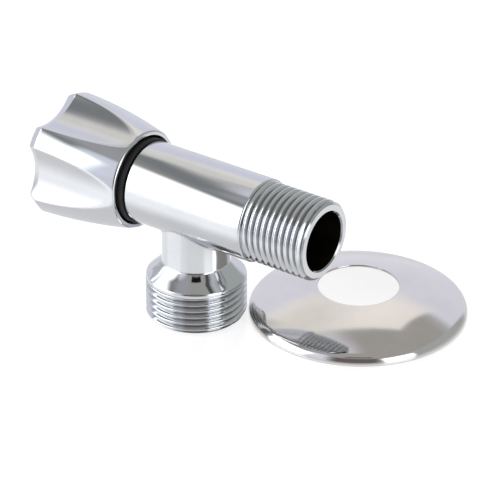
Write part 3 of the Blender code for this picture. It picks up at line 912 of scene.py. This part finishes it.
# Bare brass of the bore walls, painted near black for the shade inside the bores.
bare_brass_and_bore_shade = turned_metal("bare_brass_and_bore_shade", (0.030, 0.026, 0.014), (0.012, 0.010, 0.006), (0.45, 0.65))
brass = turned_metal("brass", (0.80, 0.60, 0.27), (0.60, 0.42, 0.17), (0.22, 0.42))
zinc_steel = turned_metal("zinc_steel", (0.62, 0.64, 0.66), (0.48, 0.49, 0.50), (0.28, 0.45))
rubber = moulded("black_rubber", (0.006, 0.006, 0.007), (0.003, 0.003, 0.004), (0.5, 0.65), 2600.0, 0.25)
silicone = moulded("silicone", (0.60, 0.09, 0.07), (0.45, 0.06, 0.05), (0.4, 0.55), 1800.0, 0.2)
ceramic = moulded("alumina_ceramic", (0.86, 0.85, 0.82), (0.78, 0.77, 0.74), (0.14, 0.26), 3000.0, 0.08)
nylon = moulded("natural_nylon", (0.83, 0.82, 0.76), (0.74, 0.72, 0.66), (0.38, 0.52), 1500.0, 0.2)
blue_plastic = moulded("blue_index", (0.03, 0.14, 0.52), (0.02, 0.10, 0.42), (0.12, 0.24), 1600.0, 0.08)

NODE_MATERIALS = {
    "cartridge_body": brass,
    "cartridge_o_ring": rubber,
    "seat_seal": silicone,
    "seat_support_ring": nylon,
    "fixed_disc": ceramic,
    "rotating_disc": ceramic,
    "spindle": brass,
    "spindle_o_ring_inner": rubber,
    "spindle_o_ring_outer": rubber,
    "slip_washer": nylon,
    "spindle_circlip": zinc_steel,
    "spline_bush": nylon,
    "spring_washer": zinc_steel,
    "handle_screw": zinc_steel,
}


def dress_frame_nodes():
    for name, material in NODE_MATERIALS.items():
        mesh = frame["nodes"][name].data
        mesh.materials.clear()
        mesh.materials.append(material)


# ---- studio -------------------------------------------------------------------------------------


def floor():
    """Glossy white acrylic, lit from below: brightest seen at a slant, and a mirror seen almost flat."""
    bm = bmesh.new()
    bmesh.ops.create_grid(bm, x_segments=8, y_segments=8, size=2.5)
    obj = as_object(bm, "floor", Matrix.Identity(4))
    acrylic = bpy.data.materials.new("floor_acrylic")
    nodes = Nodes(acrylic)
    grain = nodes.noise(300.0, 4.0)
    nodes.feed("Base Color", nodes.ramp(grain, (0.3, (0.40, 0.40, 0.405)), (0.7, (0.42, 0.42, 0.42))))
    nodes.feed("Roughness", 0.18)
    flat = nodes.add("ShaderNodeLayerWeight", {"Blend": 0.5}).outputs["Facing"]
    nodes.feed("Emission Color", (1.0, 1.0, 1.0, 1.0))
    fall = nodes.span(flat, 0.74, 0.25, 0.58, 0.85)
    rise = nodes.span(flat, 0.75, 1.0, 0.30, 0.50)
    nodes.feed("Emission Strength", nodes.math("MULTIPLY", fall, rise))
    obj.data.materials.append(acrylic)


def outward_way(azimuth, elevation):
    """The direction from the object, in degrees. Azimuth 0 is in front, at -Y, and turns towards +X."""
    a, e = math.radians(azimuth), math.radians(elevation)
    return Vector((math.sin(a) * math.cos(e), -math.cos(a) * math.cos(e), math.sin(e)))


def card(nodes, room, azimuth, elevation, size, soft, colour, bow=0.0):
    """Puts a flat card in front of the room. size and soft are half angles, and bow arches its top."""
    way = outward_way(azimuth, elevation)
    across = Vector((0, 0, 1)).cross(way).normalized()
    up = way.cross(across)
    facing = nodes.dot(nodes.place, tuple(way))
    mask = nodes.math("GREATER_THAN", facing, 0.01)
    place = [
        nodes.math("DIVIDE", nodes.dot(nodes.place, tuple(direction)), facing) for direction in (across, up)
    ]
    sag = nodes.math("MULTIPLY", nodes.math("MULTIPLY", place[0], place[0]), bow)
    place[1] = nodes.math("ADD", place[1], sag)
    for from_middle, half in zip(place, size):
        inner, outer = (math.tan(math.radians(half + turn)) for turn in (-soft, soft))
        edge = nodes.smooth(nodes.math("ABSOLUTE", from_middle), outer, inner)
        mask = nodes.math("MULTIPLY", mask, edge)
    return nodes.mix(room, (*colour, 1.0), mask)


# Each card: azimuth, elevation, half width and height, softness, colour and, for one, bow.
BEIGE_WALL = (-144, 0, (28, 63), 1, (1.12, 1.07, 1.01), 0.9)
ROOM_CARDS = (
    (-116, 51, (13, 10), 8, (0.93, 0.90, 0.85)),
    (-95, 72, (14, 8), 4, (0.86, 0.86, 0.96)),
    (-66, 54, (25, 7), 6, (0.28, 0.29, 0.30)),
    (-22, 60, (16, 8), 5, (0.48, 0.48, 0.51)),
    (-13, 32, (9, 17), 4, (0.93, 0.97, 1.07)),
    (130, 8, (42, 40), 6, (0.50, 0.52, 0.51)),
    (32, 8, (26, 36), 8, (0.17, 0.15, 0.15)),
    (36, 56, (10, 3), 1, (0.01, 0.01, 0.01)),
)


def studio_room():
    """Lilac walls and a grey ceiling, with pale and dark cards round the object, outside the picture."""
    world = bpy.data.worlds.new("studio_room")
    nodes = Nodes(world, "Background", "Generated")
    height = nodes.dot(nodes.place, (0.0, 0.0, 1.0))
    wall, ceiling = (0.89, 0.90, 1.0), (0.46, 0.45, 0.425)
    room = nodes.ramp(height, (0.0, wall), (0.59, wall), (0.64, ceiling), (1.0, ceiling))
    room = card(nodes, room, *BEIGE_WALL)
    room = nodes.mix(room, (*wall, 1.0), nodes.smooth(height, 0.72, 0.50))
    for placed in ROOM_CARDS:
        room = card(nodes, room, *placed)
    nodes.feed("Color", room)
    bpy.context.scene.world = world


def softbox(name, azimuth, elevation, distance, width, height, power):
    """A rectangular lamp that faces the object and fades towards its edges."""
    data = bpy.data.lights.new(name, "AREA")
    data.shape = "RECTANGLE"
    data.size = width
    data.size_y = height
    data.energy = power
    nodes = Nodes(data, "Emission")
    place = nodes.add("ShaderNodeSeparateXYZ", {0: nodes.add("ShaderNodeNewGeometry").outputs["Parametric"]})
    light = 1.0
    for axis in ("X", "Y"):
        from_middle = nodes.math("ABSOLUTE", nodes.math("SUBTRACT", place.outputs[axis], 0.5))
        light = nodes.math("MULTIPLY", nodes.smooth(from_middle, 0.5, 0.3), light)
    nodes.feed("Strength", light)
    lamp = bpy.data.objects.new(name, data)
    way = outward_way(azimuth, elevation)
    lamp.location = Vector((0, 0, AXIS.z)) + way * distance
    lamp.rotation_euler = way.to_track_quat("Z", "Y").to_euler()
    lamp.visible_camera = False
    bpy.context.scene.collection.objects.link(lamp)


# ---- building -----------------------------------------------------------------------------------

make_camera()
valve_body()
handle()
cap_and_index()
skirt_ring()
wall_flange()
dress_frame_nodes()
floor()
studio_room()
softbox("front_softbox", azimuth=-45, elevation=18, distance=0.9, width=1.1, height=0.95, power=6.5)
softbox("side_softbox", azimuth=77, elevation=14, distance=0.9, width=0.6, height=0.7, power=2.8)
bpy.context.scene.view_settings.view_transform = "Standard"
